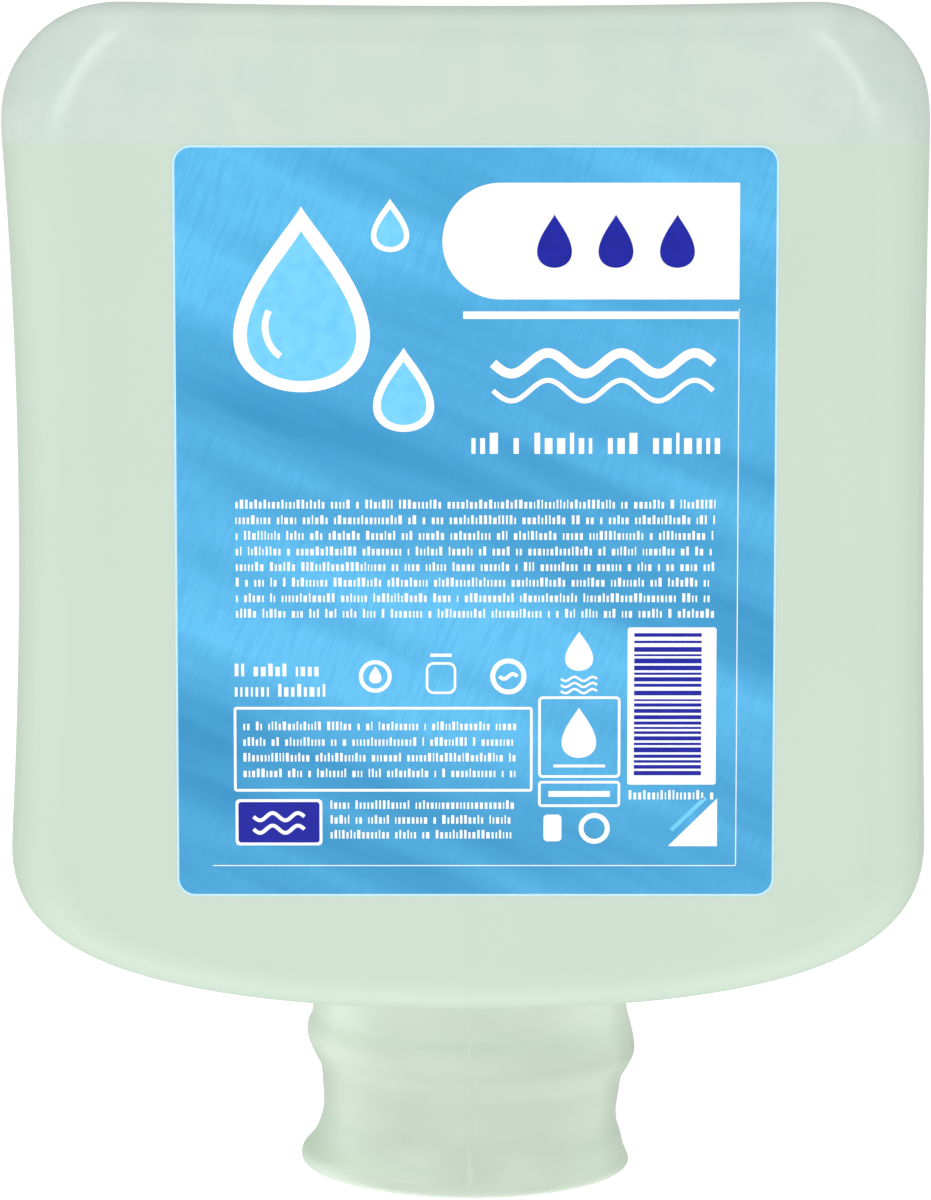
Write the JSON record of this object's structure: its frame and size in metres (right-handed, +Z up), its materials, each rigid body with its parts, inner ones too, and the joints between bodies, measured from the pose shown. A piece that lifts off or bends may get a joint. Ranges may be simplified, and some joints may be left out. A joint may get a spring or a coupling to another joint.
{
  "type": "hand soap refill pack",
  "caption": "Translucent neck-down bottle of foaming hand soap with a front label, a foam pump in its neck and a pull-off hood over the pump.",
  "frame": {"origin": "centre of the hood's flat base, on the neck's axis, at the lowest point of the pack as it stands neck down", "axes": "+Z up along the neck's axis from the hood to the bottle's top, -Y out of the labelled front face, +X to the right as the label is read"},
  "size_m": [0.1141, 0.0921, 0.1528],
  "materials": {
    "milky_bottle": "milky translucent polyethylene, faintly grained",
    "soap": "clear pale liquid",
    "label_film": "satin printed film, blue with white print",
    "white_plastic": "smooth white polypropylene",
    "silicone": "soft translucent elastomer",
    "milky_hood": "milky translucent polyethylene",
    "mesh_fabric": "fine woven nylon screen",
    "spring_steel": "drawn stainless wire"
  },
  "bodies": {
    "bottle": {"bottle": "milky_bottle", "soap_fill": "soap", "label": "label_film", "collar": "white_plastic", "neck_gasket": "silicone", "pump_housing": "white_plastic", "inlet_valve": "silicone", "return_spring": "spring_steel"},
    "hood": {"hood": "milky_hood"},
    "piston": {"nozzle": "white_plastic", "air_piston": "white_plastic", "foam_mesh_lower": "mesh_fabric", "mixing_tube": "white_plastic", "foam_mesh_upper": "mesh_fabric", "discharge_valve": "silicone", "liquid_piston": "white_plastic"}
  },
  "joints": [
    {"name": "hood_pull", "type": "slide", "parent": "bottle", "child": "hood", "axis": [0, 0, -1], "range_m": [0, 0.03]},
    {"name": "piston_stroke", "type": "slide", "parent": "bottle", "child": "piston", "axis": [0, 0, 1], "range_m": [0, 0.0075], "stiffness_N_per_m": 400, "springref_m": -0.01, "deforming": ["return_spring"]}
  ]
}
